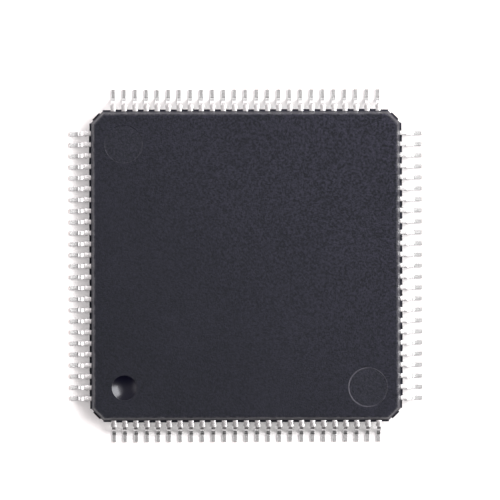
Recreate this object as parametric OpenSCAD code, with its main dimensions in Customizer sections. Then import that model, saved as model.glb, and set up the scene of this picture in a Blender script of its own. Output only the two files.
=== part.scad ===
// Quad flat pack chip with 100 gull-wing leads, in millimetres.
// A stamped lead frame carries the die on its pad, gold wires join the die to the
// lead fingers, and black resin is cast round them all before the leads are cut
// free and bent. Z = 0 is the plane that the feet stand on, under the body's middle.
// Pin 1 is the left lead of the front row (-Y), and the pins count anticlockwise.

/* [Moulded body] */
// Thickness of the body
body_thick = 1.4; // [1.3:0.05:1.8]
// Gap under the body
standoff = 0.1; // [0.05:0.01:0.15]
// From the centre of the last lead of a row to the end of the body
row_margin = 1; // [0.9:0.05:2]
// Draft angle of the walls above and below the lead frame
draft = 13; // [5:1:15]
// Length of each corner chamfer along the body's side
corner_chamfer = 0.54; // [0.4:0.02:0.7]
// Radius of the edges round the top and the underside
edge_radius = 0.09; // [0.03:0.01:0.12]

/* [Resin flash at the parting line] */
// How far the flash between the leads stands out of the body
flash_reach = 0.09; // [0.03:0.01:0.12]
// How far the flash across each chamfer stands out
corner_flash_reach = 0.07; // [0.03:0.01:0.12]
// Width of the flash across each chamfer, round the end of the tie bar
corner_flash_width = 0.44; // [0.36:0.02:0.5]

/* [Mould marks] */
// Diameter of the pin 1 dimple
dimple_dia = 1.12; // [0.8:0.02:1.6]
// Depth of the pin 1 dimple
dimple_depth = 0.13; // [0.05:0.01:0.2]
// Diameter of the ejector pin marks
ejector_dia = 1.8; // [1:0.1:2]
// Depth of the ejector pin marks
ejector_depth = 0.02; // [0.01:0.005:0.05]
// From the body's sides to the middle of each mark
mark_inset = 1.5; // [1.3:0.1:2]

/* [Leads] */
// Leads on each side
leads_per_side = 25; // [11:2:31]
// Pitch of the leads
lead_pitch = 0.5; // [0.4:0.05:0.65]
// Thickness of the lead frame
lead_thick = 0.13; // [0.1:0.01:0.16]
// Width of a lead where it leaves the body
lead_width = 0.22; // [0.19:0.01:0.26]
// Width of a lead from its shoulder to its tip
foot_width = 0.18; // [0.14:0.01:0.22]
// From the body's side to the tip of a foot
lead_reach = 1; // [0.9:0.05:1.4]

/* [Bends of the leads] */
// Length of the level shoulder outside the body
shoulder_length = 0.28; // [0.22:0.01:0.32]
// Radius of the shoulder bend, to the middle of the metal
shoulder_radius = 0.13; // [0.1:0.01:0.16]
// Radius of the foot bend, to the middle of the metal
foot_radius = 0.17; // [0.12:0.01:0.2]
// Lean of the leg between the two bends
leg_lean = 8; // [4:1:14]
// Length of the stubs that the cut dam bar leaves on a shoulder
stub_length = 0.12; // [0.06:0.01:0.12]
// How far each stub stands out of the lead's side
stub_reach = 0.02; // [0.01:0.005:0.05]

/* [Lead fingers inside the body] */
// Straight length of a finger inside the body's wall
finger_root = 0.4; // [0.3:0.05:0.8]
// Straight length of a finger at its tip
finger_nose = 0.45; // [0.4:0.05:0.6]
// Gap between two fingers at their tips
finger_gap = 0.16; // [0.12:0.01:0.18]
// From the die pad's edge to the finger tips, seen from above
tip_clearance = 0.9; // [0.5:0.05:1]
// From the last finger of a row to the line between two rows
corner_clearance = 0.5; // [0.45:0.05:0.8]

/* [Die pad and tie bars] */
// Border of the die pad outside the die
pad_border = 0.8; // [0.3:0.05:0.9]
// How far the die pad lies below the leads
pad_downset = 0.2; // [0.15:0.01:0.25]
// Width of the four tie bars
tie_width = 0.3; // [0.2:0.02:0.32]
// Level length of a tie bar next to the die pad
tie_level = 0.2; // [0.1:0.05:0.4]
// Length of the tie bar's ramp, seen from above
tie_ramp = 0.3; // [0.2:0.05:0.5]

/* [Die] */
// Side of the square die
die_size = 4.8; // [4:0.1:5]
// Thickness of the die
die_thick = 0.28; // [0.2:0.01:0.32]
// Thickness of the film of adhesive under the die
attach_thick = 0.025; // [0.02:0.005:0.05]
// Adhesive squeezed out past the die's edge
attach_border = 0.1; // [0.05:0.05:0.25]

/* [Bond wires] */
// Diameter of the gold wire
wire_dia = 0.025; // [0.02:0.001:0.032]
// Diameter of the ball that joins a wire to the die
ball_dia = 0.07; // [0.05:0.005:0.08]
// Height of the ball
ball_height = 0.015; // [0.01:0.001:0.02]
// Height of the wire loop above the die
loop_height = 0.14; // [0.1:0.01:0.2]
// From the ball to the top of the loop, seen from above
loop_knee = 0.05; // [0.03:0.01:0.1]
// From the die's edge to the row of balls
ball_inset = 0.1; // [0.06:0.01:0.2]
// From the die's corner to the first ball of a row
ball_corner = 0.34; // [0.25:0.01:0.5]
// From a finger's tip to the middle of the wire's joint
joint_inset = 0.25; // [0.2:0.01:0.3]

/* [Hidden] */

$fn = 64;
bend_steps = 6;
edge_steps = 3;
wire_sides = 6;
ball_sides = 8;
seat = 0.3; // how deep one feature reaches into the piece that carries it

row_turn = [["right", 0], ["back", 90], ["left", 180], ["front", 270]];

// Heights, from the floor up
body_top = standoff + body_thick;
frame_bottom = standoff + (body_thick - lead_thick) / 2;
frame_top = frame_bottom + lead_thick;
pad_bottom = frame_bottom - pad_downset;
pad_top = pad_bottom + lead_thick;
die_bottom = pad_top + attach_thick;
die_top = die_bottom + die_thick;

// Distances from the middle, outwards
die_half = die_size / 2;
ball_from_middle = die_half - ball_inset;
pad_half = die_half + pad_border;
tip_from_middle = pad_half + tip_clearance;
nose_from_middle = tip_from_middle + finger_nose;
body_half = (leads_per_side - 1) * lead_pitch / 2 + row_margin;
root_from_middle = body_half - finger_root;
bend_from_middle = body_half + shoulder_length;
stub_from_middle = bend_from_middle - stub_length;
tip_of_foot = body_half + lead_reach;
mark_from_middle = body_half - mark_inset;
chamfer_from_middle = (2 * body_half - corner_chamfer) / sqrt(2);

// Places of lead, finger and ball number i along a row, and the width of a finger's tip
function along(i, half) = half * (2 * i / (leads_per_side - 1) - 1);
function lead_place(i) = along(i, body_half - row_margin);
function tip_place(i) = along(i, tip_from_middle - corner_clearance);
function ball_place(i) = along(i, die_half - ball_corner);
tip_width = tip_place(1) - tip_place(0) - finger_gap;

// Points of an arc about a centre, from one angle to another
function arc(centre, radius, from, to, steps) =
    [for (k = [0 : steps]) let (a = from + (to - from) * k / steps)
        centre + radius * [cos(a), sin(a)]];

// ---------- Moulded body ----------

// One wall's outline above the frame: draft, then the rounded edge. "height" is from the
// frame's face to the body's face.
function wall(half, height) =
    let (z = height - edge_radius,
         x = half - (z + edge_radius * sin(draft)) * tan(draft) - edge_radius * cos(draft))
    concat([[half, 0]], arc([x, z], edge_radius, draft, 90, edge_steps));

// A bar with two drafted walls, "half" from the middle at the parting line
module drafted_bar(half, turn) {
    height = body_top - frame_top;
    upper = [for (p = wall(half, height)) [p.x, frame_top + p.y]];
    lower = [for (p = wall(half, height)) [p.x, frame_bottom - p.y]];
    right = concat([for (k = [len(lower) - 1 : -1 : 0]) lower[k]], upper);
    left = [for (k = [len(right) - 1 : -1 : 0]) [-right[k].x, right[k].y]];
    rotate([0, 0, turn]) rotate([90, 0, 0])
        linear_extrude(4 * body_half, center = true) polygon(concat(right, left));
}

// The body's eight drafted walls are four bars crossing
module body_blank() {
    intersection() {
        drafted_bar(body_half, 0);
        drafted_bar(body_half, 90);
        drafted_bar(chamfer_from_middle, 45);
        drafted_bar(chamfer_from_middle, 135);
    }
}

// Resin that filled the frame's slots as far as the dam bar, as thick as the frame
module flash() {
    side_end = body_half - corner_chamfer;
    for (turn = [0 : 90 : 270]) rotate([0, 0, turn]) translate([0, 0, frame_bottom])
        linear_extrude(lead_thick) {
            polygon([[body_half - seat, -side_end], [body_half, -side_end],
                     [body_half + flash_reach, flash_reach / 2 - side_end],
                     [body_half + flash_reach, side_end - flash_reach / 2],
                     [body_half, side_end], [body_half - seat, side_end]]);
        }
    for (turn = [45 : 90 : 315]) rotate([0, 0, turn])
        translate([chamfer_from_middle - seat, -corner_flash_width / 2, frame_bottom])
            cube([seat + corner_flash_reach, corner_flash_width, lead_thick]);
}

// The polished bowl by pin 1, a slice of a ball
module pin_1_dimple() {
    ball_radius = (pow(dimple_dia / 2, 2) + pow(dimple_depth, 2)) / (2 * dimple_depth);
    translate([-mark_from_middle, -mark_from_middle, body_top - dimple_depth + ball_radius])
        sphere(r = ball_radius);
}

// The ejector pins' round marks: two on the top, four on the underside
module ejector_marks() {
    top_marks = [[1, -1], [-1, 1]];
    underside_marks = [[1, 1], [1, -1], [-1, 1], [-1, -1]];
    for (side = top_marks) translate([side.x * mark_from_middle, side.y * mark_from_middle,
                                      body_top - ejector_depth])
        cylinder(d = ejector_dia, h = seat);
    for (side = underside_marks) translate([side.x * mark_from_middle,
                                            side.y * mark_from_middle,
                                            standoff + ejector_depth - seat])
        cylinder(d = ejector_dia, h = seat);
}

module moulded_body() {
    color([0.22, 0.22, 0.25]) difference() {
        union() {
            body_blank();
            flash();
        }
        pin_1_dimple();
        ejector_marks();
        // The resin is cast round everything that it holds
        for (row = row_turn) rotate([0, 0, row[1]]) {
            for (i = [0 : leads_per_side - 1]) finger(i);
            for (i = [0 : leads_per_side - 1]) bond_wire(i);
        }
        frame_pad();
        attach_film();
        die_block();
    }
}

// ---------- Leads ----------

// The flat part of lead i: finger, root in the wall, and shoulder with its dam bar stubs
module finger(i) {
    tip = tip_place(i);
    root = lead_place(i);
    near = [[tip_from_middle, tip - tip_width / 2], [nose_from_middle, tip - tip_width / 2],
            [root_from_middle, root - lead_width / 2], [stub_from_middle, root - lead_width / 2],
            [stub_from_middle, root - lead_width / 2 - stub_reach],
            [bend_from_middle, root - lead_width / 2 - stub_reach]];
    far = [[bend_from_middle, root + lead_width / 2 + stub_reach],
           [stub_from_middle, root + lead_width / 2 + stub_reach],
           [stub_from_middle, root + lead_width / 2], [root_from_middle, root + lead_width / 2],
           [nose_from_middle, tip + tip_width / 2], [tip_from_middle, tip + tip_width / 2]];
    translate([0, 0, frame_bottom]) linear_extrude(lead_thick) polygon(concat(near, far));
}

// The gull-wing part: shoulder bend, leaning leg, foot bend and foot
module gull_wing(place) {
    upper = [bend_from_middle, frame_bottom + lead_thick / 2 - shoulder_radius];
    lower_z = lead_thick / 2 + foot_radius;
    radii = shoulder_radius + foot_radius;
    leg = (upper.y - lower_z + radii * sin(leg_lean)) / cos(leg_lean);
    lower = [upper.x + radii * cos(leg_lean) + leg * sin(leg_lean), lower_z];
    half = lead_thick / 2;
    outer = concat(arc(upper, shoulder_radius + half, 90, leg_lean, bend_steps),
                   arc(lower, foot_radius - half, 180 + leg_lean, 270, bend_steps),
                   [[tip_of_foot, lead_thick]]);
    inner = concat([[tip_of_foot, 0]],
                   arc(lower, foot_radius + half, 270, 180 + leg_lean, bend_steps),
                   arc(upper, shoulder_radius - half, leg_lean, 90, bend_steps));
    translate([0, place + foot_width / 2, 0]) rotate([90, 0, 0])
        linear_extrude(foot_width) polygon(concat(outer, inner));
}

module leads(turn) {
    color([0.78, 0.78, 0.78]) rotate([0, 0, turn])
        for (i = [0 : leads_per_side - 1]) union() {
            finger(i);
            gull_wing(lead_place(i));
        }
}

module leads_right() { leads(0); }
module leads_back() { leads(90); }
module leads_left() { leads(180); }
module leads_front() { leads(270); }

// ---------- Die pad, adhesive and die ----------

// A tie bar climbs from the pad's level to the leads', and is cut off flush with the flash
module tie_bar() {
    pad_corner = pad_half * sqrt(2);
    ramp_start = pad_corner + tie_level;
    ramp_end = ramp_start + tie_ramp;
    cut_end = chamfer_from_middle + corner_flash_reach;
    translate([0, tie_width / 2, 0]) rotate([90, 0, 0]) linear_extrude(tie_width)
        polygon([[pad_corner - seat, pad_bottom], [ramp_start, pad_bottom],
                 [ramp_end, frame_bottom], [cut_end, frame_bottom], [cut_end, frame_top],
                 [ramp_end, frame_top], [ramp_start, pad_top], [pad_corner - seat, pad_top]]);
}

module frame_pad() {
    translate([-pad_half, -pad_half, pad_bottom])
        cube([2 * pad_half, 2 * pad_half, lead_thick]);
    for (turn = [45 : 90 : 315]) rotate([0, 0, turn]) tie_bar();
}

module attach_film() {
    half = die_half + attach_border;
    translate([-half, -half, pad_top]) cube([2 * half, 2 * half, attach_thick]);
}

module die_block() {
    translate([-die_half, -die_half, die_bottom]) cube([die_size, die_size, die_thick]);
}

module die_pad() { color([0.72, 0.45, 0.3]) frame_pad(); }
module die_attach() { color([0.85, 0.85, 0.8]) attach_film(); }
module silicon_die() { color([0.35, 0.37, 0.45]) die_block(); }

// ---------- Bond wires ----------

// A straight run of wire between two points, each [out, up]. It runs on past both ends by
// a quarter of its diameter, so that two runs close over their knee.
module wire_run(from, to) {
    past = wire_dia / 4;
    lean = atan2(to.x - from.x, to.y - from.y);
    translate([from.x, 0, from.y]) rotate([0, lean, 0]) translate([0, 0, -past])
        rotate([0, 0, 180 / wire_sides])
            cylinder(d = wire_dia, h = norm(to - from) + 2 * past, $fn = wire_sides);
}

// Wire i: ball on the die, short riser, knee, long run down, and a flat joint on the finger
module bond_wire(i) {
    start = [ball_from_middle, ball_place(i)];
    end = [tip_from_middle + joint_inset, tip_place(i)];
    span = norm(end - start);
    drop = die_top - frame_top;
    riser_top = [0, loop_height * 0.75];
    loop_top = [loop_knee, loop_height - wire_dia / 2];
    translate([start.x, start.y, die_top])
        rotate([0, 0, atan2(end.y - start.y, end.x - start.x)])
            difference() {
                union() {
                    cylinder(d = ball_dia, h = ball_height, $fn = ball_sides);
                    wire_run([0, ball_height], riser_top);
                    wire_run(riser_top, loop_top);
                    wire_run(loop_top, [span + joint_inset / 2, wire_dia / 4 - drop]);
                }
                // the tool that makes the joint presses it flat on the finger
                translate([span / 2, -1, -drop - 1]) cube([span, 2, 1]);
            }
}

module bond_wires(turn) {
    color([0.9, 0.7, 0.25]) rotate([0, 0, turn])
        for (i = [0 : leads_per_side - 1]) bond_wire(i);
}

module bond_wires_right() { bond_wires(0); }
module bond_wires_back() { bond_wires(90); }
module bond_wires_left() { bond_wires(180); }
module bond_wires_front() { bond_wires(270); }

moulded_body();
leads_front();
leads_right();
leads_back();
leads_left();
die_pad();
die_attach();
silicon_die();
bond_wires_front();
bond_wires_right();
bond_wires_back();
bond_wires_left();
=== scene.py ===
import math

import bmesh
import bpy
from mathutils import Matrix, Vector


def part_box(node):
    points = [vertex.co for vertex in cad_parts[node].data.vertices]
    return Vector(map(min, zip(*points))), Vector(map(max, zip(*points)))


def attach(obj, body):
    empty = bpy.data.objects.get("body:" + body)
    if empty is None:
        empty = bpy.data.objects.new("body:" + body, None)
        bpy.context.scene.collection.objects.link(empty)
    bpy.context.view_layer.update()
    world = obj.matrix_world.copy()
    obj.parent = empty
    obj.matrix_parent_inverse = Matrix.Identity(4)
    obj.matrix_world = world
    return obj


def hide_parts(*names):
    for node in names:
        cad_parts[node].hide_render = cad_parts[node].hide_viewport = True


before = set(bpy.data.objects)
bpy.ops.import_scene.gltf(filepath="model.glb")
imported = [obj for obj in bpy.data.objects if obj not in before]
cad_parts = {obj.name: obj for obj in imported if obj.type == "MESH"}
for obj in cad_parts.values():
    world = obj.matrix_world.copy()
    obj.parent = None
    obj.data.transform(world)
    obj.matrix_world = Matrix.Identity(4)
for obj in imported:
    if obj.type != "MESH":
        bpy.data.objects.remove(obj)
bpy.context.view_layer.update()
MM = 0.001

# ---------------------------------------------------------------- View and light
# The chip lies on a white table and is seen from straight above. One broad lamp
# stands to its right, and the white room fills in from all sides.

scene = bpy.context.scene
scene.view_settings.view_transform = "Standard"

CAMERA_HEIGHT = 235 * MM
VIEW_WIDTH = 22.705 * MM  # of the table, from side to side
VIEW_CENTRE = (0.19 * MM, 0.71 * MM)
VIEW_TURN = math.radians(-0.16)

camera_data = bpy.data.cameras.new("camera")
camera_data.sensor_width = 36
camera_data.lens = camera_data.sensor_width * CAMERA_HEIGHT / VIEW_WIDTH
camera_data.clip_start = 0.01
camera = bpy.data.objects.new("camera", camera_data)
camera.location = (*VIEW_CENTRE, CAMERA_HEIGHT)
camera.rotation_euler = (0, 0, VIEW_TURN)
scene.collection.objects.link(camera)
scene.camera = camera

LAMP_AZIMUTH, LAMP_ELEVATION = math.radians(19), math.radians(56)  # from +X towards +Y
LAMP_DISTANCE = 0.30
LAMP_SIZE = (0.21, 0.12)
LAMP_POWER = 0.84
LAMP_COLOUR = (1.0, 0.99, 0.98)

lamp_data = bpy.data.lights.new("key_lamp", "AREA")
lamp_data.shape = "RECTANGLE"
lamp_data.size, lamp_data.size_y = LAMP_SIZE
lamp_data.energy = LAMP_POWER
lamp_data.color = LAMP_COLOUR
lamp = bpy.data.objects.new("key_lamp", lamp_data)
lamp_direction = Vector((math.cos(LAMP_AZIMUTH) * math.cos(LAMP_ELEVATION),
                         math.sin(LAMP_AZIMUTH) * math.cos(LAMP_ELEVATION),
                         math.sin(LAMP_ELEVATION)))
lamp.location = lamp_direction * LAMP_DISTANCE
lamp.rotation_euler = lamp_direction.to_track_quat("Z", "Y").to_euler()
scene.collection.objects.link(lamp)


def feed(tree, node, inputs):
    """Sets a node's inputs, by name or number, to values or links."""
    for name, value in inputs.items():
        if isinstance(value, bpy.types.NodeSocket):
            tree.links.new(value, node.inputs[name])
        else:
            node.inputs[name].default_value = value


def add(tree, kind, inputs=None, **settings):
    """Adds a node with its settings and inputs, and returns its outputs."""
    node = tree.nodes.new(kind)
    for name, value in settings.items():
        setattr(node, name, value)
    feed(tree, node, inputs or {})
    return node.outputs


def calc(tree, operation, a, b=0.0, c=0.0):
    """One step of arithmetic on values or links."""
    return add(tree, "ShaderNodeMath", {0: a, 1: b, 2: c}, operation=operation)[0]


def spread(tree, value, low_in, high_in, low_out, high_out, smooth=False):
    """Maps a value from one range to another, and keeps it inside the second."""
    return add(tree, "ShaderNodeMapRange", {
        "Value": value, "From Min": low_in, "From Max": high_in,
        "To Min": low_out, "To Max": high_out},
        interpolation_type="SMOOTHSTEP" if smooth else "LINEAR")["Result"]


def watched(tree):
    """1 where the eye looks straight at this, and 1 where metal or glass mirrors it."""
    path = add(tree, "ShaderNodeLightPath")
    return path["Is Camera Ray"], calc(tree, "MAXIMUM", path["Is Glossy Ray"],
                                       path["Is Transmission Ray"])


WALL_LIGHT = 1.6
CEILING_LIGHT = 0.42
ZENITH_LIGHT = 0.58
FRONT_SHARE = 0.08  # of the room's light that the front keeps
DIFFUSER_GLOW = 1.9  # of the diffuser round the lamp
SCREEN_GLOW = 1.35  # of the white screen on the left
ROOM_COLOUR = (1.0, 0.93, 0.935)  # faintly pink
screen_direction = Vector((-0.90, -0.05, 0.38)).normalized()

# The white walls of the room are bright low down at the sides and the back. Overhead,
# and towards the front where the camera's operator stands, it is dimmer.
room = bpy.data.worlds.new("white_room")
room.use_nodes = True
scene.world = room
tree = room.node_tree
direction = add(tree, "ShaderNodeTexCoord")["Generated"]
_, backwards, upwards = add(tree, "ShaderNodeSeparateXYZ", {0: direction})
room_walls = spread(tree, upwards, 0.42, 0.66, WALL_LIGHT, 0.0, smooth=True)
behind = spread(tree, backwards, -0.70, 0.12, FRONT_SHARE, 1.0, smooth=True)
overhead = spread(tree, upwards, 0.6, 0.97, CEILING_LIGHT, ZENITH_LIGHT, smooth=True)
level = calc(tree, "MULTIPLY", calc(tree, "ADD", room_walls, overhead), behind)
for bright_way, start, stop, glow in ((lamp_direction, 0.84, 0.99, DIFFUSER_GLOW),
                                      (screen_direction, 0.80, 0.96, SCREEN_GLOW)):
    near = add(tree, "ShaderNodeVectorMath", {0: direction, 1: bright_way},
               operation="DOT_PRODUCT")["Value"]
    level = calc(tree, "ADD", level, spread(tree, near, start, stop, 0.0, glow, smooth=True))

# To the eye all of the backdrop is bright, and in the metal its low part is
backdrop = spread(tree, upwards, 0.10, 0.25, 1.0, 0.0, smooth=True)
seen, mirrored = watched(tree)
white = calc(tree, "MAXIMUM", calc(tree, "MULTIPLY", backdrop, mirrored), seen)
feed(tree, tree.nodes["Background"], {
    "Color": (*ROOM_COLOUR, 1), "Strength": calc(tree, "MAXIMUM", level, white)})

# The table: white paper that keeps the chip's soft shadow
TABLE_SIZE = 0.6
TABLE_GLOW = 0.17  # what the eye and the metal see on top of the table's own light

half = TABLE_SIZE / 2
table_mesh = bpy.data.meshes.new("table")
table_mesh.from_pydata([(-half, -half, 0), (half, -half, 0), (half, half, 0), (-half, half, 0)],
                       [], [(0, 1, 2, 3)])
table = bpy.data.objects.new("table", table_mesh)
scene.collection.objects.link(table)
paper = bpy.data.materials.new("white_paper")
paper.use_nodes = True
tree = paper.node_tree
seen, mirrored = watched(tree)
feed(tree, tree.nodes["Principled BSDF"], {
    "Base Color": (0.86, 0.85, 0.85, 1), "Roughness": 0.9, "Specular IOR Level": 0.2,
    "Emission Color": (1, 1, 1, 1), "Emission Strength": calc(
        tree, "MULTIPLY", calc(tree, "MAXIMUM", seen, mirrored), TABLE_GLOW)})
table_mesh.materials.append(paper)

# ---------------------------------------------------------------- Moulded body
# The black block cast round the frame: epoxy filled with silica, with the fine
# spark-eroded grain of the mould on every face. Its walls draft both ways from the
# parting line, and polished pins left the dimple by pin 1 and the ejector marks.

FRAME_THICK = 0.13 * MM
FLASH_REACH = 0.09 * MM
CHAMFER = 0.54 * MM
DRAFT = math.radians(13)
EDGE_RADIUS = 0.09 * MM
CORNER_RADIUS = 0.07 * MM  # of the upright edges
FLAT_RIM = 0.02 * MM  # of a flat face, beside its edge
MARK_INSET = 1.5 * MM  # from the body's sides to the middle of each mark
DIMPLE_RADIUS = 0.56 * MM
DIMPLE_DEPTH = 0.13 * MM
EJECTOR_RADIUS = 0.87 * MM
EJECTOR_DEPTH = 0.016 * MM
CLEAR_RIDGE = 0.014 * MM  # round the mark on the right, which stands out most
FAINT_RIDGE = 0.002 * MM
ROUND_STEPS = 96  # round each mark

low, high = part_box("moulded_body")
body_bottom, body_top = low.z, high.z
frame_mid = (body_bottom + body_top) / 2
body_half = high.x - FLASH_REACH
chamfer_half = (2 * body_half - CHAMFER) / math.sqrt(2)
mark_half = body_half - MARK_INSET
dimple_middle = (-mark_half, -mark_half, 0)
right_mark, left_mark = (mark_half, -mark_half, 0), (-mark_half, mark_half, 0)


def body_ring(inset, z):
    """Corners of the eight-sided outline at one height, each rounded off."""
    steps = 4
    radius = CORNER_RADIUS
    halves = (body_half - inset - radius, chamfer_half - inset - radius)
    points = []
    for corner in range(8):
        a, b = math.radians(45 * corner), math.radians(45 * corner + 45)
        da, db = (halves[0], halves[1]) if corner % 2 == 0 else (halves[1], halves[0])
        x = (da * math.sin(b) - db * math.sin(a)) / math.sin(b - a)
        y = (db * math.cos(a) - da * math.cos(b)) / math.sin(b - a)
        for step in range(steps + 1):
            t = a + (b - a) * step / steps
            points.append((x + radius * math.cos(t), y + radius * math.sin(t), z))
    return points


def wall_profile(height):
    """(inset, rise) up one wall from the frame's face, then round the edge."""
    steps = 6
    centre_z = height - EDGE_RADIUS
    centre = ((centre_z + EDGE_RADIUS * math.sin(DRAFT)) * math.tan(DRAFT)
              + EDGE_RADIUS * math.cos(DRAFT))
    profile = [(0, 0)]
    for step in range(steps + 1):
        t = DRAFT + (math.pi / 2 - DRAFT) * step / steps
        profile.append((centre - EDGE_RADIUS * math.cos(t), centre_z + EDGE_RADIUS * math.sin(t)))
    return profile + [(centre + FLAT_RIM, height)]


def ring_edges(bm, ring):
    """The edges that join the points of a closed ring."""
    return [bm.edges.get((a, b)) for a, b in zip(ring, ring[1:] + ring[:1])]


def band(bm, outer, inner):
    """Faces between two rings of as many points."""
    for k in range(len(outer)):
        after = (k + 1) % len(outer)
        bm.faces.new((outer[k], outer[after], inner[after], inner[k]))


def lathed_mark(bm, x, y, z, up, profile):
    """A round mark turned about an upright axis. Returns its outer ring of edges."""
    turns = [math.tau * k / ROUND_STEPS for k in range(ROUND_STEPS)]
    rings = [[bm.verts.new((x + radius * math.cos(t), y + radius * math.sin(t), z + up * rise))
              for t in turns] for radius, rise in profile]
    middle = bm.verts.new((x, y, z + up * profile[-1][1]))
    for outer, inner in zip(rings, rings[1:]):
        band(bm, outer, inner)
    for k in range(ROUND_STEPS):
        bm.faces.new((rings[-1][k], rings[-1][(k + 1) % ROUND_STEPS], middle))
    return ring_edges(bm, rings[0])


def dimple_profile():
    """A shallow bowl with a softly raised rim."""
    steps = 18
    rim = ((0.09, 0), (0.07, 0), (0.045, 0.003), (0.02, 0.004), (0.006, 0.001))
    profile = [(DIMPLE_RADIUS + out * MM, rise * MM) for out, rise in rim]
    for k in range(steps):
        share = 1 - k / steps
        profile.append((DIMPLE_RADIUS * share,
                        -DIMPLE_DEPTH * (1 - (9 * share ** 2 - share ** 3) / 8)))
    return profile


def ejector_profile(ridge):
    """A flat shallow disc inside the thin ridge that the pin's edge leaves."""
    floor = -EJECTOR_DEPTH
    rim = ((0.045, 0), (0.025, 0), (0.007, ridge), (-0.010, ridge), (-0.032, floor),
           (-0.052, floor))
    return [(EJECTOR_RADIUS + out * MM, rise) for out, rise in rim] + [
        (EJECTOR_RADIUS / 2, floor)]


def capped_face(bm, outline, marks):
    """The flat face inside the body's outline, round its marks."""
    bmesh.ops.triangle_fill(bm, use_beauty=True, use_dissolve=False,
                            edges=sum(marks, list(outline)))


bm = bmesh.new()
upper = [(inset, frame_mid + FRAME_THICK / 2 + rise)
         for inset, rise in wall_profile(body_top - frame_mid - FRAME_THICK / 2)]
lower = [(inset, frame_mid - FRAME_THICK / 2 - rise)
         for inset, rise in wall_profile(frame_mid - FRAME_THICK / 2 - body_bottom)]
rings = [[bm.verts.new(point) for point in body_ring(inset, z)]
         for inset, z in lower[::-1] + upper]
for below, above in zip(rings, rings[1:]):
    band(bm, below, above)
top_outline, under_outline = ring_edges(bm, rings[-1]), ring_edges(bm, rings[0])
top_marks = [lathed_mark(bm, -mark_half, -mark_half, body_top, 1, dimple_profile()),
             lathed_mark(bm, mark_half, -mark_half, body_top, 1, ejector_profile(CLEAR_RIDGE)),
             lathed_mark(bm, -mark_half, mark_half, body_top, 1, ejector_profile(FAINT_RIDGE))]
capped_face(bm, top_outline, top_marks)
under_marks = [lathed_mark(bm, sx * mark_half, sy * mark_half, body_bottom, -1,
                           ejector_profile(FAINT_RIDGE)) for sx in (-1, 1) for sy in (-1, 1)]
capped_face(bm, under_outline, under_marks)
bmesh.ops.recalc_face_normals(bm, faces=bm.faces)
mesh = bpy.data.meshes.new("moulded_block")
bm.to_mesh(mesh)
bm.free()
mesh.shade_smooth()
mesh.set_sharp_from_angle(angle=math.radians(24))
moulded_block = bpy.data.objects.new("moulded_block", mesh)
scene.collection.objects.link(moulded_block)


def new_material(name):
    """A material, its node tree and its shader."""
    material = bpy.data.materials.new(name)
    material.use_nodes = True
    return material, material.node_tree, material.node_tree.nodes["Principled BSDF"]


def place_in(tree, centre=(0, 0, 0)):
    """The shaded point's place on the object, in millimetres from a centre."""
    return add(tree, "ShaderNodeMapping", {
        "Scale": (1 / MM,) * 3, "Location": [-c / MM for c in centre],
        "Vector": add(tree, "ShaderNodeTexCoord")["Object"]})["Vector"]


def noise(tree, place, per_mm, detail=3.0, roughness=0.55):
    """Grain with that many lumps to the millimetre, from 0 to 1."""
    return add(tree, "ShaderNodeTexNoise", {
        "Scale": per_mm, "Detail": detail, "Roughness": roughness, "Vector": place})["Fac"]


def mixed(tree, share, first, second, way="MIX"):
    """Two colours mixed or multiplied, by a share from 0 to 1; each is plain or a link."""
    first, second = [colour if isinstance(colour, bpy.types.NodeSocket) else (*colour, 1)
                     for colour in (first, second)]
    return add(tree, "ShaderNodeMix", {"Factor": share, "A": first, "B": second},
               data_type="RGBA", blend_type=way)["Result"]


def relief(tree, height, distance):
    """A bump of that height in metres."""
    return add(tree, "ShaderNodeBump", {"Distance": distance, "Height": height})["Normal"]


def within(tree, centre, radius, soft):
    """1 inside an upright cylinder about a centre, 0 outside it."""
    flat = add(tree, "ShaderNodeVectorMath", {0: place_in(tree, centre), 1: (1, 1, 0)},
               operation="MULTIPLY")[0]
    distance = add(tree, "ShaderNodeVectorMath", {0: flat}, operation="LENGTH")["Value"]
    return spread(tree, distance, (radius - soft) / MM, (radius + soft) / MM, 1, 0, smooth=True)


def facing_between(tree, low_z, high_z, soft):
    """1 where the surface faces up or down by an amount between two, as a rounded edge does."""
    normal = add(tree, "ShaderNodeNewGeometry")["Normal"]
    tilt = calc(tree, "ABSOLUTE", add(tree, "ShaderNodeSeparateXYZ", {0: normal})[2])
    return calc(tree, "MULTIPLY", spread(tree, tilt, low_z - soft, low_z + soft, 0, 1),
                spread(tree, tilt, high_z - soft, high_z + soft, 1, 0))


RESIN_BLACK = (0.0, 0.0010, 0.0034)
RESIN_GREY = (0.0345, 0.0340, 0.0545)  # where silica lies at the surface
RESIN_POLISHED = (0.0015, 0.0015, 0.006)
# Pale resin for painted highlights on the ridge and edges and a painted reflection on the walls
RESIN_WEAR_AND_SHEEN = (0.075, 0.075, 0.092)
RESIN_TINT = (0.92, 0.95, 1.0, 1)  # of its shine
GRAIN_PER_MM = 11
GRAIN_RELIEF = 0.03 * MM

resin, tree, shader = new_material("black_mould_resin")
place = place_in(tree)
x, y, z = add(tree, "ShaderNodeSeparateXYZ", {0: place})
grain = noise(tree, place, GRAIN_PER_MM, detail=4, roughness=0.75)
clouds = noise(tree, place, 0.45, detail=2)

# The dimple is polished, and the ejector pins pressed their discs a little smoother
on_top = spread(tree, z, 1.1, 1.2, 0, 1)
polished = calc(tree, "MULTIPLY", on_top, within(
    tree, dimple_middle, DIMPLE_RADIUS + 0.005 * MM, 0.008 * MM))
pressed = calc(tree, "ADD", within(tree, right_mark, EJECTOR_RADIUS, 0.01 * MM),
               within(tree, left_mark, EJECTOR_RADIUS, 0.01 * MM))
smoother = calc(tree, "MAXIMUM", polished, calc(tree, "MULTIPLY", pressed, 0.35))
rougher = calc(tree, "SUBTRACT", 1.0, smoother)
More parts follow.
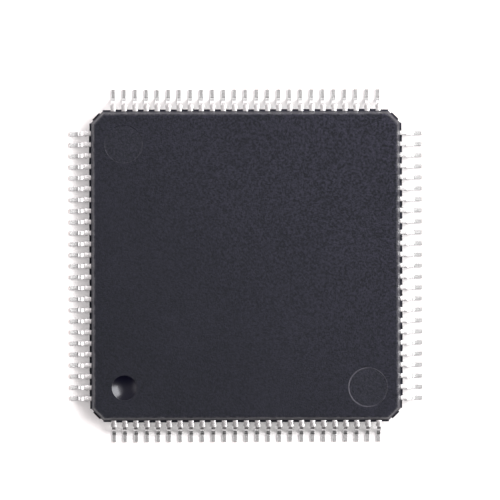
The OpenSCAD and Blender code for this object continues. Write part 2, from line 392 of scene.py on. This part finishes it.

# Handling rubs the clear ridge, most on its left side, and the block's edges in patches, making
# them smoother; their paler colour is a painted highlight, and on the walls a painted reflection
# of the white table
ring = calc(tree, "SUBTRACT", within(tree, right_mark, EJECTOR_RADIUS + 0.028 * MM, 0.015 * MM),
            within(tree, right_mark, EJECTOR_RADIUS - 0.035 * MM, 0.015 * MM))
ragged_x = calc(tree, "ADD", calc(tree, "MULTIPLY", noise(tree, place, 1.4, detail=2), 3.0), x)
ridge = calc(tree, "MULTIPLY", calc(tree, "MULTIPLY", ring, on_top),
             spread(tree, ragged_x, 6.6, 8.0, 1.0, 0.1))
patches = spread(tree, noise(tree, place, 4, detail=4, roughness=0.7), 0.40, 0.58, 0.1, 1.1)
edges = calc(tree, "MULTIPLY", facing_between(tree, 0.35, 0.985, 0.012),
             calc(tree, "SUBTRACT", 1.0, polished))
edges = calc(tree, "MULTIPLY", edges, patches)
walls = facing_between(tree, 0.15, 0.35, 0.02)

# Painted light: the grain stands out more, and the resin is painted a little paler, towards the
# back right corner, where the lamp's light grazes it
diagonal = calc(tree, "ADD", x, y)
painted_light_contrast = spread(tree, diagonal, -4, 12, 0.8, 3.0)
specks = calc(tree, "MULTIPLY", painted_light_contrast, calc(
    tree, "MULTIPLY", calc(tree, "SUBTRACT", grain, 0.5), 0.95))
tone_and_painted_light = calc(tree, "ADD", specks, calc(
    tree, "MULTIPLY", calc(tree, "SUBTRACT", clouds, 0.5), 0.10))
# Painted light: paler towards the back right, darker towards the front left
tone_and_painted_light = calc(tree, "ADD", tone_and_painted_light, spread(tree, diagonal, -8, 10, -0.09, 0.03))
colour = mixed(tree, spread(tree, tone_and_painted_light, -0.2, 0.6, 0, 1), RESIN_BLACK, RESIN_GREY)
colour = mixed(tree, polished, colour, RESIN_POLISHED)
# Painted highlight on the ridge and edges, and painted reflection on the walls: there the resin
# is painted paler
wear_and_sheen = calc(tree, "ADD", calc(tree, "MULTIPLY", ridge, 0.75), calc(
    tree, "ADD", calc(tree, "MULTIPLY", edges, 0.12), calc(tree, "MULTIPLY", walls, 0.25)))
unevenness = calc(tree, "MULTIPLY", spread(tree, grain, 0.3, 0.7, -0.08, 0.08), rougher)
rubbing = calc(tree, "ADD", calc(tree, "MULTIPLY", calc(tree, "MAXIMUM", ridge, edges), -0.34),
               calc(tree, "MULTIPLY", walls, -0.15))
roughness = calc(tree, "ADD", spread(tree, rougher, 0, 1, 0.20, 0.62), unevenness)
feed(tree, shader, {
    "Base Color": mixed(tree, wear_and_sheen, colour, RESIN_WEAR_AND_SHEEN),
    "Roughness": calc(tree, "ADD", roughness, rubbing), "Specular Tint": RESIN_TINT,
    "Specular IOR Level": spread(tree, calc(tree, "MAXIMUM", polished, edges), 0, 1, 0.22, 0.42),
    "Normal": relief(tree, calc(tree, "MULTIPLY", grain, rougher), GRAIN_RELIEF)})
mesh.materials.append(resin)
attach(moulded_block, "root")
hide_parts("moulded_body")

# ---------------------------------------------------------------- Resin flash
# Thin tongues of the same resin that ran out between the leads as far as the dam
# bar, and across the corners round the tie bars. Their outer edges are ragged.

LEADS_PER_SIDE = 25
LEAD_PITCH = 0.5 * MM
LEAD_WIDTH = 0.22 * MM
TONGUE_SEAT = 0.06 * MM  # how far a tongue reaches into the body
CORNER_TONGUE_WIDTH = 0.44 * MM
CORNER_TONGUE_REACH = 0.067 * MM  # leaves the tie bar's cut end bare
SKIN = 0.006 * MM  # resin that bled over the tie bar there
RAGGEDNESS = 0.035 * MM
LUMPS_PER_METRE = 5200.0


def vector(tree, x=0.0, y=0.0, z=0.0):
    """Three values as one vector."""
    return add(tree, "ShaderNodeCombineXYZ", {0: x, 1: y, 2: z})[0]


def new_tree(name, sizes):
    """A geometry node tree, its named sizes and its last node."""
    tree = bpy.data.node_groups.new(name, "GeometryNodeTree")
    for label, value in sizes.items():
        kind = "NodeSocketInt" if isinstance(value, int) else "NodeSocketFloat"
        socket = tree.interface.new_socket(label, in_out="INPUT", socket_type=kind)
        socket.default_value = value
    tree.interface.new_socket("Geometry", in_out="OUTPUT", socket_type="NodeSocketGeometry")
    return tree, tree.nodes.new("NodeGroupInput").outputs, tree.nodes.new("NodeGroupOutput")


def grown(tree, name, material, sizes):
    """Runs a tree on an empty object and returns its result as a plain mesh object."""
    holder = bpy.data.objects.new(name, bpy.data.meshes.new(name + "_seed"))
    scene.collection.objects.link(holder)
    modifier = holder.modifiers.new("grow", "NODES")
    modifier.node_group = tree
    for item in tree.interface.items_tree:
        if item.in_out == "INPUT" and item.name in sizes:
            modifier[item.identifier] = sizes[item.name]
    graph = bpy.context.evaluated_depsgraph_get()
    result = bpy.data.meshes.new_from_object(holder.evaluated_get(graph))
    holder.modifiers.clear()
    holder.data = result
    result.materials.clear()
    result.materials.append(material)
    return holder


tree, size, last = new_tree("resin_tongues", {
    "Leads per side": LEADS_PER_SIDE, "Lead pitch": LEAD_PITCH, "Lead width": LEAD_WIDTH,
    "Body half width": body_half, "Chamfer distance": chamfer_half, "Chamfer": CHAMFER,
    "Corner tongue width": CORNER_TONGUE_WIDTH, "Corner reach": CORNER_TONGUE_REACH,
    "Corner thickness": FRAME_THICK + 2 * SKIN, "Reach": FLASH_REACH, "Seat": TONGUE_SEAT,
    "Thickness": FRAME_THICK, "Height": frame_mid, "Raggedness": RAGGEDNESS})


def tongue(across, distance, y, count, step, reach="Reach", thickness="Thickness"):
    """A row of tongues on the right side of the body, or one tongue."""
    block = add(tree, "GeometryNodeMeshCube", {
        "Size": vector(tree, calc(tree, "ADD", size[reach], size["Seat"]), across,
                       size[thickness]),
        "Vertices X": 5, "Vertices Y": 7, "Vertices Z": 3})["Mesh"]
    middle = calc(tree, "ADD", distance,
                  calc(tree, "MULTIPLY", calc(tree, "SUBTRACT", size[reach], size["Seat"]), 0.5))
    line = add(tree, "GeometryNodeMeshLine", {
        "Count": count, "Start Location": vector(tree, middle, y, size["Height"]),
        "Offset": vector(tree, 0.0, step, 0.0)})["Mesh"]
    return add(tree, "GeometryNodeInstanceOnPoints", {"Points": line, "Instance": block})[0]


def turned(geometry, first_turn):
    """Four copies round the body."""
    ends = add(tree, "GeometryNodePoints", {"Count": 4})[0]
    quarter = calc(tree, "MULTIPLY_ADD", add(tree, "GeometryNodeInputIndex")[0], math.pi / 2,
                   first_turn)
    return add(tree, "GeometryNodeInstanceOnPoints", {
        "Points": ends, "Instance": geometry, "Rotation": vector(tree, 0.0, 0.0, quarter)})[0]


gaps = calc(tree, "SUBTRACT", size["Leads per side"], 1)
outer_lead = calc(tree, "MULTIPLY", calc(tree, "MULTIPLY", gaps, 0.5), size["Lead pitch"])
lead_half = calc(tree, "MULTIPLY", size["Lead width"], 0.5)
first_gap = calc(tree, "SUBTRACT", calc(tree, "MULTIPLY", size["Lead pitch"], 0.5), outer_lead)
between = tongue(calc(tree, "SUBTRACT", size["Lead pitch"], size["Lead width"]),
                 size["Body half width"], first_gap, gaps, size["Lead pitch"])
end_start = calc(tree, "ADD", outer_lead, lead_half)
end_stop = calc(tree, "SUBTRACT", size["Body half width"], size["Chamfer"])
end_middle = calc(tree, "MULTIPLY", calc(tree, "ADD", end_start, end_stop), 0.5)
end_length = calc(tree, "SUBTRACT", end_stop, end_start)
row_ends = tongue(end_length, size["Body half width"], calc(tree, "MULTIPLY", end_middle, -1.0),
                  2, calc(tree, "MULTIPLY", end_middle, 2.0), "Corner reach")
corner = tongue(size["Corner tongue width"], size["Chamfer distance"], 0.0, 1, 0.0,
                "Corner reach", "Corner thickness")
join = tree.nodes.new("GeometryNodeJoinGeometry")
for part in (turned(between, 0.0), turned(row_ends, 0.0), turned(corner, math.pi / 4)):
    tree.links.new(part, join.inputs[0])
solid = add(tree, "GeometryNodeRealizeInstances", {0: join.outputs[0]})[0]

# The outer edge tears unevenly: push it back towards the middle by a lumpy amount
spot = add(tree, "GeometryNodeInputPosition")[0]
flat = add(tree, "ShaderNodeVectorMath", {0: spot, 1: (1, 1, 0)}, operation="MULTIPLY")[0]
inward = add(tree, "ShaderNodeVectorMath", {0: flat}, operation="NORMALIZE")[0]
lumps = add(tree, "ShaderNodeTexNoise", {
    "Vector": spot, "Scale": LUMPS_PER_METRE, "Detail": 2.0})[0]
push = calc(tree, "MULTIPLY", calc(tree, "SUBTRACT", lumps, 0.85), size["Raggedness"])
spot_x, spot_y, _ = add(tree, "ShaderNodeSeparateXYZ", {0: spot})
furthest = calc(tree, "MAXIMUM", calc(tree, "ABSOLUTE", spot_x), calc(tree, "ABSOLUTE", spot_y))
outside = calc(tree, "GREATER_THAN", furthest,
               calc(tree, "MULTIPLY_ADD", size["Reach"], 0.7, size["Body half width"]))
torn = add(tree, "GeometryNodeSetPosition", {
    "Geometry": solid,
    "Offset": add(tree, "ShaderNodeVectorMath",
                  {0: inward, "Scale": calc(tree, "MULTIPLY", push, outside)},
                  operation="SCALE")[0]})[0]
feed(tree, last, {0: add(tree, "GeometryNodeSetMaterial", {
    "Geometry": torn, "Material": resin})[0]})
resin_flash = grown(tree, "resin_flash", resin, {})
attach(resin_flash, "root")

# ---------------------------------------------------------------- Leads
# Copper alloy stamped from one sheet with the die pad, plated with matt tin once the
# resin was cast, cut free of the dam bar and bent. Each one runs from its fingertip
# near the die, out through the wall, to a foot that stands on the table.

LEAD_REACH = 1.0 * MM
FOOT_WIDTH = 0.18 * MM
SHOULDER = 0.28 * MM
SHOULDER_RADIUS = 0.13 * MM
FOOT_RADIUS = 0.17 * MM
LEAN = math.radians(8)
STUB_LENGTH = 0.12 * MM
STUB_REACH = 0.02 * MM
STEP = 0.004 * MM  # over which the width changes at a stub
TOE_LENGTH = 0.30 * MM  # of the foot's end, which turns up slightly
TOE_RISE = 0.012 * MM
TOE_RADIUS = 3 * MM
STAMPED_EDGE = 0.018 * MM  # radius
UNEVENNESS = 0.007 * MM  # how far a foot may stand out of line
FINGER_ROOT = 0.4 * MM
FINGER_NOSE = 0.45 * MM
FINGER_GAP = 0.16 * MM
PAD_HALF = 3.2 * MM
TIP_CLEARANCE = 0.9 * MM  # from the die pad to the fingertips
ROW_CLEARANCE = 0.5 * MM  # from a row's last fingertip to the next row
POINTS = 11  # on each lead's centre line
ALONG_BODY = 7  # of those points, up to the end of the shoulder
BEND_STEPS = 9

row_half = LEAD_PITCH * (LEADS_PER_SIDE - 1) / 2
tip_from_middle = PAD_HALF + TIP_CLEARANCE
tip_row_half = tip_from_middle - ROW_CLEARANCE
bend_start = body_half + SHOULDER
turn = math.pi / 2 - LEAN
fall = frame_mid - FRAME_THICK / 2
bend_sum = SHOULDER_RADIUS + FOOT_RADIUS
leg = (fall - bend_sum + bend_sum * math.sin(LEAN)) / math.cos(LEAN)
foot_start = bend_start + bend_sum * math.cos(LEAN) + leg * math.sin(LEAN)
foot_tip = body_half + LEAD_REACH

tree, size, last = new_tree("row_of_leads", {
    "Leads per side": LEADS_PER_SIDE, "Row half length": row_half,
    "Tip row half length": tip_row_half, "Fingertip": tip_from_middle,
    "Finger nose": tip_from_middle + FINGER_NOSE, "Finger root": body_half - FINGER_ROOT,
    "Stub start": bend_start - STUB_LENGTH, "Bend start": bend_start, "Step": STEP,
    "Shoulder corner": bend_start + SHOULDER_RADIUS * math.tan(turn / 2),
    "Foot corner": foot_start - FOOT_RADIUS * math.tan(turn / 2),
    "Toe start": foot_tip - TOE_LENGTH, "Toe rise": TOE_RISE, "Toe radius": TOE_RADIUS,
    "Foot tip": foot_tip, "Frame height": frame_mid, "Thickness": FRAME_THICK,
    "Tip width": 2 * tip_row_half / (LEADS_PER_SIDE - 1) - FINGER_GAP,
    "Lead width": LEAD_WIDTH, "Stub width": LEAD_WIDTH + 2 * STUB_REACH,
    "Foot width": FOOT_WIDTH, "Shoulder radius": SHOULDER_RADIUS, "Foot radius": FOOT_RADIUS,
    "Edge radius": STAMPED_EDGE, "Unevenness": UNEVENNESS, "Row turn": 0.0, "Seed": 1})
index = add(tree, "GeometryNodeInputIndex")[0]
lead = calc(tree, "FLOOR", calc(tree, "DIVIDE", calc(tree, "ADD", index, 0.5), float(POINTS)))
point = calc(tree, "SUBTRACT", index, calc(tree, "MULTIPLY", lead, float(POINTS)))


def by_point(values):
    """The value for each point along a lead, in order from fingertip to foot tip."""
    node = tree.nodes.new("GeometryNodeIndexSwitch")
    node.data_type = "FLOAT"
    while len(node.index_switch_items) < POINTS:
        node.index_switch_items.new()
    feed(tree, node, dict(enumerate([point] + values)))
    return node.outputs[0]


outwards = by_point([
    size["Fingertip"], size["Finger nose"], size["Finger root"],
    calc(tree, "SUBTRACT", size["Stub start"], size["Step"]), size["Stub start"],
    calc(tree, "SUBTRACT", size["Bend start"], size["Step"]), size["Bend start"],
    size["Shoulder corner"], size["Foot corner"], size["Toe start"], size["Foot tip"]])
foot_height = calc(tree, "MULTIPLY", size["Thickness"], 0.5)
height = by_point([size["Frame height"]] * (ALONG_BODY + 1) + [foot_height] * 2
                  + [calc(tree, "ADD", foot_height, size["Toe rise"])])
width = by_point([size["Tip width"]] * 2 + [size["Lead width"]] * 2 + [size["Stub width"]] * 2
                 + [size["Foot width"]] * 5)
bend = by_point([0.0] * ALONG_BODY + [size["Shoulder radius"], size["Foot radius"],
                                      size["Toe radius"], 0.0])
place = calc(tree, "SUBTRACT",
             calc(tree, "DIVIDE", calc(tree, "MULTIPLY", lead, 2.0),
                  calc(tree, "SUBTRACT", size["Leads per side"], 1.0)), 1.0)
chance = add(tree, "FunctionNodeRandomValue", {
    "Min": -1.0, "Max": 1.0, "ID": lead, "Seed": size["Seed"]}, data_type="FLOAT")["Value"]
drift = calc(tree, "MULTIPLY", chance, size["Unevenness"])
sideways = calc(tree, "ADD", calc(tree, "MULTIPLY", place, by_point(
    [size["Tip row half length"]] * 2 + [size["Row half length"]] * 9)),
    calc(tree, "MULTIPLY", drift, by_point([0.0] * ALONG_BODY + [0.4, 0.8, 0.9, 1.0])))

leads_line = add(tree, "GeometryNodeMeshLine", {
    "Count": size["Leads per side"], "Offset": (0, 0, 0)})["Mesh"]
path = add(tree, "GeometryNodeMeshToCurve", {0: add(tree, "GeometryNodeMeshLine", {
    "Count": POINTS, "Offset": (MM, 0, 0)})["Mesh"]})[0]
paths = add(tree, "GeometryNodeRealizeInstances", {0: add(
    tree, "GeometryNodeInstanceOnPoints", {"Points": leads_line, "Instance": path})[0]})[0]
paths = add(tree, "GeometryNodeSetPosition", {
    "Geometry": paths, "Position": vector(tree, outwards, sideways, height)})[0]
paths = add(tree, "GeometryNodeStoreNamedAttribute", {
    "Geometry": paths, "Name": "lead_width", "Value": width}, data_type="FLOAT",
    domain="POINT")[0]
paths = add(tree, "GeometryNodeFilletCurve", {
    "Curve": paths, "Radius": bend, "Count": BEND_STEPS}, mode="POLY")[0]
tangent = add(tree, "GeometryNodeInputTangent")[0]
side = add(tree, "ShaderNodeVectorMath", {0: add(
    tree, "ShaderNodeVectorMath", {0: (0, 0, 1), 1: tangent}, operation="CROSS_PRODUCT")[0]},
    operation="NORMALIZE")[0]
for name, value in (("centre", add(tree, "GeometryNodeInputPosition")[0]), ("side", side)):
    paths = add(tree, "GeometryNodeStoreNamedAttribute", {
        "Geometry": paths, "Name": name, "Value": value}, data_type="FLOAT_VECTOR",
        domain="POINT")[0]
paths = add(tree, "GeometryNodeSetCurveNormal", {"Curve": paths}, mode="Z_UP")[0]
section = add(tree, "GeometryNodeCurvePrimitiveQuadrilateral", {
    "Width": size["Lead width"], "Height": size["Thickness"]}, mode="RECTANGLE")[0]
section = add(tree, "GeometryNodeFilletCurve", {
    "Curve": section, "Radius": size["Edge radius"], "Count": 2}, mode="POLY")[0]
metal = add(tree, "GeometryNodeCurveToMesh", {
    "Curve": paths, "Profile Curve": section, "Fill Caps": True})[0]


def stored(name, kind):
    """A value that was stored on the lead's centre line."""
    return add(tree, "GeometryNodeInputNamedAttribute", {"Name": name}, data_type=kind)[0]


# Widen or narrow the even sweep to each point's own width
offset = add(tree, "ShaderNodeVectorMath", {
    0: add(tree, "GeometryNodeInputPosition")[0], 1: stored("centre", "FLOAT_VECTOR")},
    operation="SUBTRACT")[0]
reach = add(tree, "ShaderNodeVectorMath", {0: offset, 1: stored("side", "FLOAT_VECTOR")},
            operation="DOT_PRODUCT")["Value"]
growth = calc(tree, "SUBTRACT", calc(tree, "DIVIDE", stored("lead_width", "FLOAT"),
                                     size["Lead width"]), 1.0)
metal = add(tree, "GeometryNodeSetPosition", {
    "Geometry": metal, "Offset": add(tree, "ShaderNodeVectorMath", {
        0: stored("side", "FLOAT_VECTOR"), "Scale": calc(tree, "MULTIPLY", reach, growth)},
        operation="SCALE")[0]})[0]
metal = add(tree, "GeometryNodeTransform", {
    "Geometry": metal, "Rotation": vector(tree, 0.0, 0.0, size["Row turn"])})[0]
metal = add(tree, "GeometryNodeRealizeInstances", {0: metal})[0]
for name in ("centre", "side", "lead_width"):
    metal = add(tree, "GeometryNodeRemoveAttribute", {"Geometry": metal, "Name": name})[0]
feed(tree, last, {0: add(tree, "GeometryNodeSetMaterial", {"Geometry": metal})[0]})
leads_tree = tree

TIN_GREY = (0.745, 0.755, 0.755)
TIN_WHITE = (0.865, 0.875, 0.88)
FOOT_PAINTED_SHADE = (0.75, 0.765, 0.765)
FRONT_PAINTED_SHADE = (0.64, 0.64, 0.64)
CUT_COPPER = (0.60, 0.43, 0.33)
METAL_RELIEF = 0.004 * MM

plating, tree, shader = new_material("tin_plated_lead")
place = place_in(tree)
fine = noise(tree, place, 45, detail=3)
x, y, _ = add(tree, "ShaderNodeSeparateXYZ", {0: place})
out_x, out_y = calc(tree, "ABSOLUTE", x), calc(tree, "ABSOLUTE", y)
furthest = calc(tree, "MAXIMUM", out_x, out_y)
colour = mixed(tree, noise(tree, place, 5, detail=2), TIN_GREY, TIN_WHITE)
# Painted shade: the flat feet are painted darker than the shoulders and bends
colour = mixed(tree, spread(tree, furthest, 7.40, 7.60, 0, 1, smooth=True), colour,
               FOOT_PAINTED_SHADE, "MULTIPLY")

# Painted shade on the front row, which faces away from the lamp: it is painted darker, most of
# all on its shoulders
front_row_shade = calc(tree, "MULTIPLY", spread(tree, y, -7.1, -7.0, 1, 0),
                 spread(tree, y, -7.6, -7.4, 0.55, 1))
colour = mixed(tree, front_row_shade, colour, FRONT_PAINTED_SHADE, "MULTIPLY")

# The last cut, after plating, left bare copper on each foot's end
cut = spread(tree, furthest, foot_tip / MM - 0.006, foot_tip / MM - 0.003, 0, 1)
colour = mixed(tree, cut, colour, CUT_COPPER)

# The bending tools slid over the leads and left marks that stretch the highlights
along_x = calc(tree, "GREATER_THAN", out_x, out_y)
feed(tree, shader, {
    "Base Color": colour, "Metallic": 1.0, "Roughness": spread(tree, fine, 0.3, 0.7, 0.22, 0.34),
    "Anisotropic": 0.5, "Normal": relief(tree, fine, METAL_RELIEF),
    "Tangent": vector(tree, along_x, calc(tree, "SUBTRACT", 1.0, along_x))})

for number, name in enumerate(("right", "back", "left", "front")):
    row = grown(leads_tree, "lead_row_" + name, plating,
                {"Row turn": number * math.pi / 2, "Seed": number + 1})
    row.data.shade_smooth()
    row.data.set_sharp_from_angle(angle=math.radians(25))
    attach(row, "root")
    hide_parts("leads_" + name)

# ---------------------------------------------------------------- Die pad and tie bars
# Bare copper alloy, stamped with the leads and set down below them. Only the cut ends
# of the tie bars show, in the flash across the corners.

frame_copper, tree, shader = new_material("bare_frame_copper")
streaks = noise(tree, place_in(tree), 12, detail=4)
feed(tree, shader, {
    "Base Color": mixed(tree, streaks, (0.50, 0.34, 0.25), (0.68, 0.48, 0.36)),
    "Metallic": 1.0, "Roughness": spread(tree, streaks, 0.3, 0.7, 0.3, 0.5),
    "Normal": relief(tree, streaks, METAL_RELIEF)})
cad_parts["die_pad"].material_slots[0].material = frame_copper

# ---------------------------------------------------------------- Die and its adhesive
# A film of silver-filled epoxy holds the polished silicon die on the pad. The die's
# face carries a pattern of blocks.

adhesive, tree, shader = new_material("silver_filled_adhesive")
flakes = noise(tree, place_in(tree), 30, detail=4)
feed(tree, shader, {
    "Base Color": mixed(tree, flakes, (0.38, 0.38, 0.36), (0.66, 0.66, 0.63)),
    "Metallic": 0.6, "Roughness": spread(tree, flakes, 0.3, 0.7, 0.35, 0.6),
    "Normal": relief(tree, flakes, METAL_RELIEF)})
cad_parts["die_attach"].material_slots[0].material = adhesive

silicon, tree, shader = new_material("polished_silicon")
blocks = add(tree, "ShaderNodeTexBrick", {
    "Vector": place_in(tree), "Scale": 1.3, "Color1": (0.10, 0.11, 0.16, 1),
    "Color2": (0.16, 0.13, 0.18, 1), "Mortar": (0.32, 0.30, 0.26, 1)})["Color"]
feed(tree, shader, {
    "Base Color": blocks, "Metallic": 0.7,
    "Roughness": spread(tree, noise(tree, place_in(tree), 6), 0.3, 0.7, 0.1, 0.2)})
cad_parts["silicon_die"].material_slots[0].material = silicon

# ---------------------------------------------------------------- Bond wires
# Drawn gold wire, one length to each lead. It is balled on to the die at one end and
# pressed flat on to the fingertip at the other.

gold, tree, shader = new_material("drawn_gold_wire")
drawn = noise(tree, place_in(tree), 60, detail=2)
feed(tree, shader, {
    "Base Color": mixed(tree, drawn, (0.88, 0.60, 0.20), (1.0, 0.76, 0.34)),
    "Metallic": 1.0, "Roughness": spread(tree, drawn, 0.3, 0.7, 0.15, 0.28)})
for side_name in ("front", "right", "back", "left"):
    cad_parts["bond_wires_" + side_name].material_slots[0].material = gold
